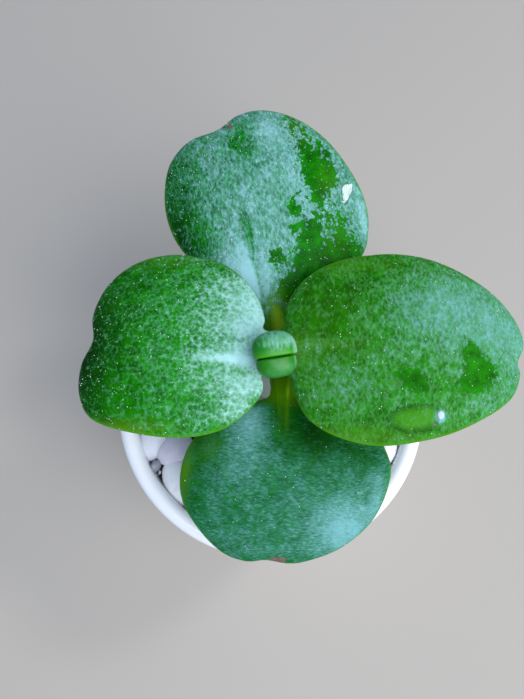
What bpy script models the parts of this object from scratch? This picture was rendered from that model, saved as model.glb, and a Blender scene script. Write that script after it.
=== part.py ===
"""A young crassula in a small glazed pot with a dressing of pebbles.

Metres, +Z up. The origin is the middle of the pot's flat base. The plant's first leaves point
left (-X) and right (+X), and the pair below them back (+Y) and front (-Y).
"""
import math
import random

import bmesh
import bpy
from mathutils import Matrix, Vector, geometry, noise

MM = 0.001

# Pot
RIM_HEIGHT = 56.0 * MM
RIM_RADIUS = 32.0 * MM
RIM_WALL = 3.6 * MM
FOOT_RADIUS = 24.6 * MM
FOOT_ROUND = 2.5 * MM
FLOOR = 5.5 * MM
FLOOR_ROUND = 4.0 * MM
COVE_RADIUS = 16.2 * MM
SHOULDER_HEIGHT = 44.0 * MM
SHOULDER_RADIUS = 28.2 * MM
TURN_STEPS = 48

# Filling. The rings of pebbles are a radius in millimetres and a count.
GAP = 0.3 * MM
SOIL_TOP = 50.4 * MM
PEBBLE_RINGS = ((24.5, 22), (19.0, 17), (13.5, 12), (8.1, 7), (3.0, 3))
PEBBLE_LONG = (3.8 * MM, 4.6 * MM)
PEBBLE_SHORT = (3.1 * MM, 3.6 * MM)
PEBBLE_HEIGHT = (1.9 * MM, 2.5 * MM)
PEBBLE_REACH = 28.05 * MM
PEBBLE_WANDER = 0.12
PEBBLE_TILT = 0.16
PEBBLE_BUMPS = 0.10
PEBBLE_BUMP_RATE = 1.3
PEBBLE_BUMP_BIAS = -0.4
PEBBLE_SEED = 7

# The pebbles that show beside the leaves, in millimetres: centre, half length, half width, and
# turn in degrees. A bare spot stays open between them, and others keep clear of them all.
SHOWN_PEBBLES = (
    ((-23.6, -7.3), 5.5, 3.0, 78.0),
    ((-20.0, -10.4), 4.2, 2.9, 27.0),
    ((-18.4, -16.6), 4.3, 3.4, 130.0),
)
BARE_SPOT = (-23.4, -14.0)
PEBBLE_CLEARANCE = 4.4
STEM_RING_RADIUS = 7.3
STEM_RING_COUNT = 7
STEM_RING_START = -128.0

# Stem: its middle line and radius in millimetres, from the tip in the soil up to the bud
STEM_LINE = (
    ((3.7, 9.8, 36.5), 1.8),
    ((3.4, 9.5, 41.0), 2.6),
    ((2.9, 8.7, 49.0), 3.0),
    ((2.5, 7.7, 56.0), 3.1),
    ((2.1, 6.9, 63.5), 3.5),
    ((1.6, 5.9, 69.0), 3.0),
    ((0.9, 4.5, 75.0), 3.1),
    ((0.8, 3.95, 76.6), 3.0),
)
STEM_BEVEL_RESOLUTION = 4
STEM_STEPS = 4
CUT_ABOVE_BUD = 4.0 * MM

# Leaf flesh
LEAF_STEPS = 48
LEAF_RINGS = 10
TOP_LIFT = 1.35 * MM
UNDER_LIFT = 2.2 * MM
STALK_EXTRA = 0.5
STALK_SHARE = 0.3
EDGE_BLUNTNESS = 0.8
MIDDLE_SHARE = 0.5
SPREAD_MIX = 0.2

# The leaves. A leaf's margin is drawn flat, in millimetres: first number out along the midrib from
# the stem's middle, second across it. Angles are in degrees: rise at the stem, fall at the tip.
# Cup and droop are the curve across the leaf, per metre, near the stem and from cup_end outwards.
LEAVES = {
    "leaf_left": dict(
        root=(0.8, 4.4, 75.0), heading=178.5, length=34.0, rise=30.0, fall=-26.0, roll=0.0,
        cup=-10.0, droop=16.0, cup_end=0.45,
        margin=(
            (0, -3), (3, -4.2), (2.9, -6.4), (5.2, -11.3), (11, -16), (19, -18), (27, -16.6),
            (32.5, -12.5), (34.8, -6.5), (34, -1.3), (36.2, 3.4), (36.5, 8.5), (33.8, 12.7),
            (26, 15.1), (17, 15.9), (10, 14.4), (5.5, 11), (2.9, 7.4), (3.1, 4.6), (0, 3.2),
        ),
    ),
    "leaf_right": dict(
        root=(0.8, 4.4, 75.0), heading=-2.5, length=42.0, rise=30.0, fall=-18.0, roll=0.0,
        cup=-10.0, droop=13.0, cup_end=0.4,
        margin=(
            (0, -3), (3, -4.6), (3.8, -7.5), (6.5, -12), (11.7, -15), (19, -16.2),
            (28.5, -14.4), (36, -11), (41.2, -7.2), (43, -3.2), (42.6, -1), (44.2, 3), (42.2, 8),
            (37, 13), (28.3, 17.3), (19.3, 18.5), (11.4, 16.9), (5.3, 13.5), (1.8, 8.6),
            (1.6, 5.4), (0, 3),
        ),
    ),
    "leaf_back": dict(
        root=(2.0, 6.8, 63.5), heading=105.0, length=44.0, rise=42.0, fall=-4.0, roll=-9.0,
        cup=-20.0, droop=16.0, cup_end=0.45,
        margin=(
            (0, -2.8), (9.5, -3.2), (12, -10), (15.6, -18.6), (20.5, -22), (26.5, -22.7),
            (33.5, -21.1), (40, -18.3), (45.6, -13.8), (48.9, -8.5), (49.3, -3.5), (47.5, 1.2),
            (47.5, 7.4), (44.3, 12.3), (38, 15), (31.5, 15.6), (24.8, 13.8), (17.5, 8.2),
            (12.5, 3.2), (8.5, 2.6), (0, 2.8),
        ),
    ),
    "leaf_front": dict(
        root=(2.2, 6.8, 63.5), heading=-94.0, length=40.0, rise=30.0, fall=-28.0, roll=0.0,
        cup=-20.0, droop=14.0, cup_end=0.45,
        margin=(
            (0, -2.6), (8.5, -1.9), (10.6, -3.6), (13.5, -10.6), (18.5, -15.6), (24, -17.5),
            (30, -17), (35.2, -13.6), (39.2, -9), (40.5, -4.5), (39.4, -0.6), (40.3, 3.5),
            (39.6, 7.2), (37, 13), (32.1, 18.3), (26, 21.1), (20, 21.5), (14.5, 17.4),
            (11.2, 8), (9, 3), (0, 2.8),
        ),
    ),
}

# Bud: two short upright leaves, flat side to flat side. Sizes are half widths, depths and height.
BUD_BASE = (0.2, 3.4, 76.95)
BUD_TURN = 9.0
BUD_LEAN = 15.0
BUD_SLIT = 0.3 * MM
BUD_HEIGHT = 7.6 * MM
BUD_LEAVES = {
    "bud_leaf_back": dict(side=1, half_width=4.3 * MM, depth=5.0 * MM),
    "bud_leaf_front": dict(side=-1, half_width=3.9 * MM, depth=4.0 * MM),
}
BUD_WAIST = 0.5
BUD_BASE_CUT = 0.12
BUD_SQUARENESS = 0.8
BUD_INNER = 0.04
BUD_STEPS = 18
BUD_RINGS = 12

# Colour and roughness of each material
FINISHES = {
    "pot": ("F1F3F8", 0.15),
    "soil": ("2E241C", 0.95),
    "pebbles": ("DDDCE2", 0.5),
    "stem": ("6F7F22", 0.5),
    "leaf_left": ("4E9A3A", 0.45),
    "leaf_right": ("4A9430", 0.45),
    "leaf_back": ("4F9650", 0.45),
    "leaf_front": ("3B8748", 0.45),
    "bud_leaf_back": ("3F9440", 0.4),
    "bud_leaf_front": ("3F8F45", 0.4),
}


def clear_scene():
    for old in list(bpy.data.objects):
        bpy.data.objects.remove(old, do_unlink=True)


def new_collection(name):
    collection = bpy.data.collections.new(name)
    bpy.context.scene.collection.children.link(collection)
    return collection


def linear(channel):
    """Turns an sRGB channel, 0 to 1, into the linear value that Blender's colours hold."""
    if channel <= 0.04045:
        return channel / 12.92
    return ((channel + 0.055) / 1.055) ** 2.4


def finish(name):
    colour, roughness = FINISHES[name]
    channels = [int(colour[start:start + 2], 16) / 255 for start in (0, 2, 4)]
    material = bpy.data.materials.new(name)
    material.use_nodes = True
    shader = material.node_tree.nodes["Principled BSDF"]
    shader.inputs["Base Color"].default_value = [linear(channel) for channel in channels] + [1]
    shader.inputs["Roughness"].default_value = roughness
    shader.inputs["Metallic"].default_value = 0.0
    return material


def place(name, data, collection, location=(0, 0, 0)):
    """Adds an object with its own finish to a collection."""
    body = bpy.data.objects.new(name, data)
    body.location = location
    data.materials.append(finish(name))
    collection.objects.link(body)
    return body


def as_cutter(body, collection):
    body.hide_render = True
    body.display_type = "WIRE"
    collection.objects.link(body)
    return body


def mesh_from(bm, name):
    mesh = bpy.data.meshes.new(name)
    bm.to_mesh(mesh)
    bm.free()
    mesh.shade_smooth()
    return mesh


def evaluated_mesh(body):
    bpy.context.view_layer.update()
    depsgraph = bpy.context.evaluated_depsgraph_get()
    return bpy.data.meshes.new_from_object(body.evaluated_get(depsgraph))


def cut(body, cutter):
    boolean = body.modifiers.new("cut_" + cutter.name, "BOOLEAN")
    boolean.operation = "DIFFERENCE"
    boolean.solver = "EXACT"
    boolean.object = cutter


# Turned pieces

def arc(centre, radius, start, end, steps):
    """Points on an arc in the profile's plane, from one angle in degrees to another."""
    angles = [math.radians(start + (end - start) * step / steps) for step in range(steps + 1)]
    return [(centre[0] + radius * math.cos(a), centre[1] + radius * math.sin(a)) for a in angles]


def inner_wall(inset):
    """The pot's inner side from the floor's middle up to the shoulder, moved in by inset."""
    cove = (COVE_RADIUS, FLOOR + FLOOR_ROUND)
    floor_arc = arc(cove, FLOOR_ROUND - inset, -90, 0, 4)
    return [(0, FLOOR + inset)] + floor_arc + [(SHOULDER_RADIUS - inset, SHOULDER_HEIGHT)]


def turned(name, profile, collection):
    bm = bmesh.new()
    points = [bm.verts.new((radius, 0, height)) for radius, height in profile]
    for first, second in zip(points, points[1:]):
        bm.edges.new((first, second))
    body = place(name, mesh_from(bm, name), collection)
    screw = body.modifiers.new("turn", "SCREW")
    screw.steps = TURN_STEPS
    screw.render_steps = TURN_STEPS
    screw.use_merge_vertices = True
    screw.merge_threshold = 0.01 * MM
    screw.use_smooth_shade = True
    return body


def build_pot(collection):
    rim_round = RIM_WALL / 2
    rim = (RIM_RADIUS - rim_round, RIM_HEIGHT - rim_round)
    foot = (FOOT_RADIUS - FOOT_ROUND, FOOT_ROUND)
    profile = inner_wall(0)
    profile += arc(rim, rim_round, 180, 0, 8)
    profile += arc(foot, FOOT_ROUND, 0, -90, 4)
    profile += [(0, 0)]
    return turned("pot", profile, collection)


def build_soil(collection):
    wall = inner_wall(GAP)
    profile = [(0, SOIL_TOP), (SHOULDER_RADIUS - GAP, SOIL_TOP)] + wall[::-1]
    return turned("soil", profile, collection)


# Pebbles

def pebble(centre, half_sizes, turn, pick):
    """One rough pebble: a stretched ball with slow bumps, just above the soil and off the wall."""
    bm = bmesh.new()
    bmesh.ops.create_icosphere(bm, subdivisions=2, radius=1.0)
    offset = Vector((pick.uniform(0, 50), pick.uniform(0, 50), pick.uniform(0, 50)))
    tilt = Matrix.Rotation(pick.uniform(-PEBBLE_TILT, PEBBLE_TILT), 3, "X")
    spin = Matrix.Rotation(math.radians(turn), 3, "Z")
    for vertex in bm.verts:
        swell = noise.noise(vertex.co * PEBBLE_BUMP_RATE + offset) + PEBBLE_BUMP_BIAS
        bump = 1 + PEBBLE_BUMPS * swell
        stretched = Vector(side * size * bump for side, size in zip(vertex.co, half_sizes))
        vertex.co = spin @ (tilt @ stretched)
    lowest = min(vertex.co.z for vertex in bm.verts)
    reach = max((vertex.co.xy + centre).length for vertex in bm.verts)
    spot = centre - centre.normalized() * max(0.0, reach - PEBBLE_REACH)
    bmesh.ops.translate(bm, verts=bm.verts, vec=(spot.x, spot.y, SOIL_TOP + GAP - lowest))
    return mesh_from(bm, "pebble")


def far_from(spot, others, distance):
    return all(math.dist(spot, other) > distance for other in others)


def random_sizes(pick):
    return [pick.uniform(*size) for size in (PEBBLE_LONG, PEBBLE_SHORT, PEBBLE_HEIGHT)]


def ring_spots(centre, radius, count, start, pick, wander):
    """Places round a circle, each with the turn in degrees that lays a pebble along it."""
    for number in range(count):
        angle = start + math.tau * (number + pick.uniform(-wander, wander)) / count
        spot = (centre[0] + radius * math.cos(angle), centre[1] + radius * math.sin(angle))
        yield spot, math.degrees(angle) + 90


def pebble_meshes():
    """The pebbles that show, a ring close round the stem, and wide rings out to the wall."""
    pick = random.Random(PEBBLE_SEED)
    stem = STEM_LINE[2][0]
    start = math.radians(STEM_RING_START)
    taken = [BARE_SPOT]
    meshes = []
    for spot, long, short, turn in SHOWN_PEBBLES:
        sizes = (long * MM, short * MM, pick.uniform(*PEBBLE_HEIGHT))
        meshes.append(pebble(Vector(spot) * MM, sizes, turn, pick))
        taken.append(spot)
    for spot, turn in ring_spots(stem, STEM_RING_RADIUS, STEM_RING_COUNT, start, pick, 0):
        meshes.append(pebble(Vector(spot) * MM, random_sizes(pick), turn, pick))
        taken.append(spot)
    for radius, count in PEBBLE_RINGS:
        start = pick.uniform(0, math.tau)
        for spot, turn in ring_spots((0, 0), radius, count, start, pick, PEBBLE_WANDER):
            free = far_from(spot, taken, PEBBLE_CLEARANCE)
            if free and math.dist(spot, stem[:2]) > STEM_RING_RADIUS:
                meshes.append(pebble(Vector(spot) * MM, random_sizes(pick), turn, pick))
    return meshes


def build_pebbles(collection):
    """Joins the pebbles, which touch their neighbours, into one body."""
    loose = bpy.data.collections.new("loose_pebbles")
    bodies = [bpy.data.objects.new("loose_pebble", mesh) for mesh in pebble_meshes()]
    for body in bodies:
        bpy.context.scene.collection.objects.link(body)
    for body in bodies[1:]:
        loose.objects.link(body)
    union = bodies[0].modifiers.new("fuse", "BOOLEAN")
    union.operation = "UNION"
    union.operand_type = "COLLECTION"
    union.collection = loose
    union.solver = "EXACT"
    fused = evaluated_mesh(bodies[0])
    for body in bodies:
        bpy.data.objects.remove(body, do_unlink=True)
    bpy.data.collections.remove(loose)
    fused.shade_smooth()
    fused.set_sharp_from_angle(angle=math.radians(40))
    return place("pebbles", fused, collection)


# Stem

def stem_curve(name, grow, below, above):
    """A tube along the stem's line, with its radius grown and its ends moved out."""
    curve = bpy.data.curves.new(name, "CURVE")
    curve.dimensions = "3D"
    curve.resolution_u = STEM_STEPS
    curve.bevel_depth = 1.0
    curve.bevel_resolution = STEM_BEVEL_RESOLUTION
    curve.use_fill_caps = True
    spline = curve.splines.new("BEZIER")
    spline.radius_interpolation = "CARDINAL"
    spline.bezier_points.add(len(STEM_LINE) - 1)
    places = [Vector(place) * MM for place, _ in STEM_LINE]
    places[0] += (places[0] - places[1]).normalized() * below
    places[-1] += (places[-1] - places[-2]).normalized() * above
    for point, place, (_, radius) in zip(spline.bezier_points, places, STEM_LINE):
        point.co = place
        point.radius = radius * MM + grow
        point.handle_left_type = "AUTO"
        point.handle_right_type = "AUTO"
    return curve


def build_stem(collection):
    return place("stem", stem_curve("stem", 0, 0, 0), collection)


def build_stem_cutter(collection):
    """The stem grown by the gap, as a closed mesh that cuts the soil and the leaf bases."""
    curve = stem_curve("stem_room", GAP, GAP, CUT_ABOVE_BUD)
    tube = bpy.data.objects.new("stem_room_curve", curve)
    bpy.context.scene.collection.objects.link(tube)
    bm = bmesh.new()
    bm.from_mesh(evaluated_mesh(tube))
    bmesh.ops.remove_doubles(bm, verts=bm.verts, dist=0.01 * MM)
    cutter = bpy.data.objects.new("stem_room", mesh_from(bm, "stem_room"))
    cutter.matrix_world = tube.matrix_world
    bpy.data.objects.remove(tube, do_unlink=True)
    return as_cutter(cutter, collection)


# Leaves

def smooth_loop(points, steps=8):
    """A closed smooth line through the points, as many short straight runs."""
    knots = [Vector((x, y, 0)) * MM for x, y in points]
    count = len(knots)
    line = []
    for index in range(count):
        before, here, there, after = (knots[(index + shift) % count] for shift in (-1, 0, 1, 2))
        leave = here + (there - before) / 6
        arrive = there - (after - here) / 6
        line += geometry.interpolate_bezier(here, leave, arrive, there, steps + 1)[:-1]
    return line


def spaced(line, count):
    """Equally spaced points round a closed line."""
    ends = line[1:] + line[:1]
    lengths = [(end - start).length for start, end in zip(line, ends)]
    step = sum(lengths) / count
    points = []
    walked = 0.0
    for start, end, length in zip(line, ends, lengths):
        while len(points) < count and len(points) * step <= walked + length:
            points.append(start.lerp(end, (len(points) * step - walked) / length))
        walked += length
    return points


def bend(leaf, along, across, lift):
    """Carries a point of the flat leaf, lift above its middle layer, to the bent leaf."""
    length = leaf["length"] * MM
    rise = math.radians(leaf["rise"])
    turn = math.radians(leaf["fall"]) - rise
    share = along / length
    slope = rise + turn * share
    run = length * (math.sin(slope) - math.sin(rise)) / turn
    climb = length * (math.cos(rise) - math.cos(slope)) / turn
    cup = max(0.0, 1 - share / leaf["cup_end"])
    curl = leaf["droop"] + (leaf["cup"] - leaf["droop"]) * cup
    angle = curl * across
    side = lift * math.sin(angle) + across
    up = lift * math.cos(angle)
    if abs(angle) > 1e-6:
        side = lift * math.sin(angle) + math.sin(angle) / curl
        up = lift * math.cos(angle) - (1 - math.cos(angle)) / curl
    roll = math.radians(leaf["roll"])
    side, up = side * math.cos(roll) - up * math.sin(roll), side * math.sin(roll) + up * math.cos(roll)
    return Vector((run - up * math.sin(slope), side, climb + up * math.cos(slope)))


def fleshy(leaf, edge, ball):
    """Carries a point of the unit ball to the leaf, given the margin's point in its direction."""
    out = math.hypot(ball.x, ball.y)
    middle = leaf["length"] * MM * MIDDLE_SHARE
    spread = (1 - SPREAD_MIX) * (1 - (1 - out) ** 3) + SPREAD_MIX * out
    along = middle + (edge.x - middle) * spread
    across = edge.y * out
    share = along / (leaf["length"] * MM)
    thickness = 1 + STALK_EXTRA * max(0.0, 1 - share / STALK_SHARE)
    layer = TOP_LIFT * thickness if ball.z > 0 else -UNDER_LIFT
    return bend(leaf, along, across, layer * abs(ball.z) ** EDGE_BLUNTNESS)


def build_leaf(name, leaf, cutter, collection):
    margin = spaced(smooth_loop(leaf["margin"]), LEAF_STEPS)
    bm = bmesh.new()
    bmesh.ops.create_uvsphere(bm, u_segments=LEAF_STEPS, v_segments=LEAF_RINGS, radius=1.0)
    for vertex in bm.verts:
        turn = math.atan2(vertex.co.y, vertex.co.x) / math.tau
        vertex.co = fleshy(leaf, margin[round(turn * LEAF_STEPS) % LEAF_STEPS], vertex.co)
    body = place(name, mesh_from(bm, name), collection, Vector(leaf["root"]) * MM)
    body.rotation_euler.z = math.radians(leaf["heading"])
    cut(body, cutter)
    return body


def power(value, exponent):
    return math.copysign(abs(value) ** exponent, value)


def build_bud_leaf(name, size, collection):
    """A short thick leaf with a flat inner side and base, widening to its round top."""
    bm = bmesh.new()
    bmesh.ops.create_uvsphere(bm, u_segments=BUD_STEPS, v_segments=BUD_RINGS, radius=1.0)
    for vertex in bm.verts:
        ball = vertex.co.copy()
        climb = (power(ball.z, BUD_SQUARENESS) + 1) / 2
        height = BUD_HEIGHT * max(0.0, climb * (1 + BUD_BASE_CUT) - BUD_BASE_CUT)
        widening = BUD_WAIST + (1 - BUD_WAIST) * math.sin(height / BUD_HEIGHT * math.pi / 2)
        width = size["half_width"] * widening * power(ball.x, BUD_SQUARENESS)
        outer = power(max(0.0, ball.y), BUD_SQUARENESS)
        inner = power(min(0.0, ball.y), BUD_SQUARENESS)
        depth = size["depth"] * widening * (BUD_INNER * (1 + inner) + (1 - BUD_INNER) * outer)
        vertex.co = (size["side"] * width, size["side"] * (BUD_SLIT / 2 + depth), height)
    body = place(name, mesh_from(bm, name), collection, Vector(BUD_BASE) * MM)
    body.rotation_euler = (math.radians(BUD_LEAN), 0, math.radians(BUD_TURN))
    return body


clear_scene()
plant = new_collection("potted_crassula")
cutters = new_collection("cutters")
stem_room = build_stem_cutter(cutters)
build_pot(plant)
cut(build_soil(plant), stem_room)
build_pebbles(plant)
build_stem(plant)
for leaf_name, leaf_shape in LEAVES.items():
    build_leaf(leaf_name, leaf_shape, stem_room, plant)
for leaf_name, leaf_size in BUD_LEAVES.items():
    build_bud_leaf(leaf_name, leaf_size, plant)
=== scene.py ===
"""Looks of a young crassula in a small glazed pot with a dressing of white pebbles.

Metres, +Z up. The origin is the middle of the pot's flat base. The upper leaves point left (-X)
and right (+X), and the pair below them back (+Y) and front (-Y). The named sizes of the plant and
the pot are in millimetres.
"""
import math
import random

import bmesh
import bpy
import numpy as np
from mathutils import Matrix, Vector, geometry, noise
from mathutils.bvhtree import BVHTree


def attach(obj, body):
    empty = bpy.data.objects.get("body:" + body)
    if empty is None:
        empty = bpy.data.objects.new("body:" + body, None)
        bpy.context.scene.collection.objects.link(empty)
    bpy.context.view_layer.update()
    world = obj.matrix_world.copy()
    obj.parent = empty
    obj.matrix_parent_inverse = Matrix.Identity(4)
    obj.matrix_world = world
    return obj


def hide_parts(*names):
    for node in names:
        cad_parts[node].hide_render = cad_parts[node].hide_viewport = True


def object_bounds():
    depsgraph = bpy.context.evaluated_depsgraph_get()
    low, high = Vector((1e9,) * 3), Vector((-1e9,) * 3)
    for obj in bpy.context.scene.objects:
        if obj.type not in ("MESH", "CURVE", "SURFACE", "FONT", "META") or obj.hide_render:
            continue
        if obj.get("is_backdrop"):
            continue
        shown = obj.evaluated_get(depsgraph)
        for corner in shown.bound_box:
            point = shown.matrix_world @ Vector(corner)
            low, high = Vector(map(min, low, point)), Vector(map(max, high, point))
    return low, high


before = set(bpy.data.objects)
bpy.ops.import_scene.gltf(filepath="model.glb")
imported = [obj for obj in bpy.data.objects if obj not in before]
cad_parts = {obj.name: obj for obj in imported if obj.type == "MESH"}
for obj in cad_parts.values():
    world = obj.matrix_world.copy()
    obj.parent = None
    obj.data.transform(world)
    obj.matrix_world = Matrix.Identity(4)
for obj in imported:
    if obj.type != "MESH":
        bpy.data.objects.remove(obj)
cad_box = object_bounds()


# The pot: a small flower pot of white porcelain, cast in a mould with a thick round rim.
# It is glazed all over, except for the ring that it stands on, which is wiped clean before
# firing and shows the bare biscuit.

MM = 0.001
RIM_HEIGHT = 56.0
RIM_RADIUS = 32.0
RIM_WALL = 3.6
FOOT_RADIUS = 24.6
FOOT_ROUND = 2.5
RECESS_RADIUS = 19.0
RECESS_DEPTH = 0.7
POT_FLOOR = 5.5
FLOOR_ROUND = 4.0
COVE_RADIUS = 16.2
SHOULDER_HEIGHT = 44.0
SHOULDER_RADIUS = 28.2
TURN_STEPS = 160
WELD = 0.004
# The recess's edge below: how far out from its radius, and how high
RECESS_EDGE = ((0.5, 0), (0, 0.2), (-0.9, RECESS_DEPTH))


def colour(code):
    """An sRGB hex code as the linear colour that Blender's sockets hold."""
    channels = [int(code[start:start + 2], 16) / 255 for start in (0, 2, 4)]
    return [c / 12.92 if c <= 0.04045 else ((c + 0.055) / 1.055) ** 2.4 for c in channels] + [1.0]


def fill(made, inputs):
    """Sets or links a node's inputs by name or number: 0, 6 and 7 are a colour Mix node's share and
    colours, and 1 to 4 a Map Range node's limits. A node stands for its first live output.
    """
    for key, value in inputs.items():
        if isinstance(value, bpy.types.Node):
            value = next(output for output in value.outputs if output.enabled)
        if isinstance(value, bpy.types.NodeSocket):
            made.id_data.links.new(value, made.inputs[key])
        else:
            made.inputs[key].default_value = value


def node(tree, kind, inputs=None, **settings):
    """Adds a node with its settings and links. A kind without a family name is a shader node."""
    made = tree.nodes.new(kind if "Node" in kind else "ShaderNode" + kind)
    for key, value in settings.items():
        setattr(made, key, value)
    fill(made, inputs or {})
    return made


def blank_material(name, **values):
    """A material with one Principled shader, and constant values on its sockets."""
    material = bpy.data.materials.new(name)
    material.use_nodes = True
    shader = material.node_tree.nodes["Principled BSDF"]
    fill(shader, {key.replace("_", " "): value for key, value in values.items()})
    return material, material.node_tree, shader


def added(name, data):
    """A new object in the scene, at the origin."""
    body = bpy.data.objects.new(name, data)
    bpy.context.scene.collection.objects.link(body)
    return body


def piece(name, mesh, material, replaced=None):
    """Adds a finished mesh as a piece of the object, in place of a CAD node if one is named."""
    mesh.name = name
    mesh.materials.clear()
    mesh.materials.append(material)
    body = added(name, mesh)
    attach(body, "root")
    if replaced:
        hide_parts(replaced)
    return body


def mesh_from(bm):
    """A plain mesh from a closed shell or an open sheet. A shell's faces are turned outward."""
    shell = all(edge.is_manifold for edge in bm.edges)
    if shell and bm.calc_volume(signed=True) < 0:
        bmesh.ops.reverse_faces(bm, faces=bm.faces)
    mesh = bpy.data.meshes.new("finished")
    bm.to_mesh(mesh)
    bm.free()
    mesh.shade_smooth()
    return mesh


def arc(centre, radius, start, end, steps):
    """Points on an arc in the profile's plane, from one angle in degrees to another."""
    angles = [math.radians(start + (end - start) * step / steps) for step in range(steps + 1)]
    return [(centre[0] + radius * math.cos(a), centre[1] + radius * math.sin(a)) for a in angles]


def pot_profile():
    """From the middle of the floor inside, up and over the rim, and down to the recess below."""
    rim_round = RIM_WALL / 2
    line = [(0, POT_FLOOR)]
    line += arc((COVE_RADIUS, POT_FLOOR + FLOOR_ROUND), FLOOR_ROUND, -90, 0, steps=8)
    line += [(SHOULDER_RADIUS, SHOULDER_HEIGHT)]
    line += arc((RIM_RADIUS - rim_round, RIM_HEIGHT - rim_round), rim_round, 180, 0, steps=28)
    line += arc((FOOT_RADIUS - FOOT_ROUND, FOOT_ROUND), FOOT_ROUND, 0, -90, steps=10)
    line += [(RECESS_RADIUS + out, height) for out, height in RECESS_EDGE]
    return line + [(0, RECESS_DEPTH)]


def turned_mesh(profile):
    """A closed shell of revolution. The profile starts and ends on the middle line."""
    bm = bmesh.new()
    points = [bm.verts.new((radius * MM, 0, height * MM)) for radius, height in profile]
    edges = [bm.edges.new(pair) for pair in zip(points, points[1:])]
    bmesh.ops.spin(bm, geom=points + edges, angle=math.tau, steps=TURN_STEPS,
                   axis=(0, 0, 1), cent=(0, 0, 0))
    bmesh.ops.remove_doubles(bm, verts=bm.verts, dist=WELD * MM)
    bmesh.ops.recalc_face_normals(bm, faces=bm.faces)
    return mesh_from(bm)


# White porcelain under a clear gloss glaze: cold white with a soft even mirror shine. The glaze
# is a little uneven, so reflections wave slightly, and the wiped foot is chalky and cream.
porcelain, tree, shader = blank_material("glazed_porcelain", IOR=1.5)
where = node(tree, "TexCoord").outputs["Object"]
wobble = node(tree, "TexNoise", {"Vector": where, "Scale": 300, "Detail": 2})
height = node(tree, "SeparateXYZ", {"Vector": where}).outputs["Z"]
edge = node(tree, "Math", {0: wobble, 1: 0.8 * MM, 2: height}, operation="MULTIPLY_ADD")
wiped = node(tree, "MapRange", {0: edge, 1: 1.1 * MM, 2: 1.35 * MM, 3: 1.0, 4: 0.0},
             interpolation_type="SMOOTHSTEP")
cloud = node(tree, "TexNoise", {"Vector": where, "Scale": 60, "Detail": 3})
white = node(tree, "Mix", {0: cloud, 6: colour("EEF1F6"), 7: colour("F8F9FA")}, data_type="RGBA")
grit = node(tree, "TexNoise", {"Vector": where, "Scale": 2500, "Detail": 2})
biscuit = node(tree, "Mix", {0: grit, 6: colour("CDBFA8"), 7: colour("E6DCCB")}, data_type="RGBA")
skin = node(tree, "Mix", {0: wiped, 6: white, 7: biscuit}, data_type="RGBA")
gloss = node(tree, "MapRange", {0: wiped, 3: 0.1, 4: 0.85})
peel = node(tree, "TexNoise", {"Vector": where, "Scale": 220, "Detail": 2})
relief = node(tree, "Bump", {"Height": peel, "Strength": 0.35, "Distance": 0.12 * MM})
fill(shader, {"Base Color": skin, "Roughness": gloss, "Normal": relief})

piece("porcelain_pot", turned_mesh(pot_profile()), porcelain, "pot")


# The soil: a dark potting mix of peat and bark crumbs with a few grains of white perlite. The
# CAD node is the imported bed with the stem's hole. Loose crumbs are strewn on it, and show in
# the gaps between the pebbles.

SOIL_TOP = 50.4
CRUMB_REACH = 27.9
CRUMB_SIZES = (0.3, 1.0)
CRUMB_SPACING = 0.8
CRUMB_RAGGEDNESS = 1.6
MOST_CRUMBS_PER_MM2 = 1.5

# Moist peat and bark: nearly black brown and matt, with lighter fibres and dusty bits.
potting_mix, tree, shader = blank_material("potting_mix", Roughness=0.92)
where = node(tree, "TexCoord").outputs["Object"]
bits = node(tree, "TexVoronoi", {"Vector": where, "Scale": 900})
fine = node(tree, "TexNoise", {"Vector": where, "Scale": 1800, "Detail": 4})
tone = node(tree, "MapRange", {0: fine, 1: 0.35, 2: 0.75})
peat = node(tree, "Mix", {0: tone, 6: colour("221C18"), 7: colour("5C4A3C")}, data_type="RGBA")
pick = node(tree, "SeparateColor", {"Color": bits.outputs["Color"]})
perlite = node(tree, "Math", {0: pick, 1: 0.965}, operation="GREATER_THAN")
mixed = node(tree, "Mix", {0: perlite, 6: peat, 7: colour("B9B4A8")}, data_type="RGBA")
rough = node(tree, "Bump", {"Height": fine, "Distance": 0.3 * MM})
fill(shader, {"Base Color": mixed, "Normal": rough})

soil_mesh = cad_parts["soil"].data
soil_mesh.materials.clear()
soil_mesh.materials.append(potting_mix)


def growth_tree(name, **sizes):
    """A Geometry Nodes tree whose inputs are a geometry, a material, and the sizes named."""
    tree = bpy.data.node_groups.new(name, "GeometryNodeTree")
    tree.interface.new_socket("Geometry", in_out="OUTPUT", socket_type="NodeSocketGeometry")
    tree.interface.new_socket("Geometry", in_out="INPUT", socket_type="NodeSocketGeometry")
    tree.interface.new_socket("Material", in_out="INPUT", socket_type="NodeSocketMaterial")
    for label, value in sizes.items():
        kind = "NodeSocketInt" if isinstance(value, int) else "NodeSocketFloat"
        tree.interface.new_socket(label, in_out="INPUT", socket_type=kind)
    return tree, node(tree, "NodeGroupInput").outputs


def finish_tree(tree, given, result):
    """Ends a tree: instances become real, and the whole takes the material."""
    real = node(tree, "GeometryNodeRealizeInstances", {0: result})
    smooth = node(tree, "GeometryNodeSetShadeSmooth", {0: real})
    painted = node(tree, "GeometryNodeSetMaterial", {0: smooth, "Material": given["Material"]})
    node(tree, "NodeGroupOutput", {0: painted})


def plain_mesh(body):
    """An object's finished shape as a plain mesh. The object and its modifiers are removed."""
    depsgraph = bpy.context.evaluated_depsgraph_get()
    mesh = bpy.data.meshes.new_from_object(body.evaluated_get(depsgraph))
    body.modifiers.clear()
    bpy.data.objects.remove(body, do_unlink=True)
    return mesh


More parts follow.
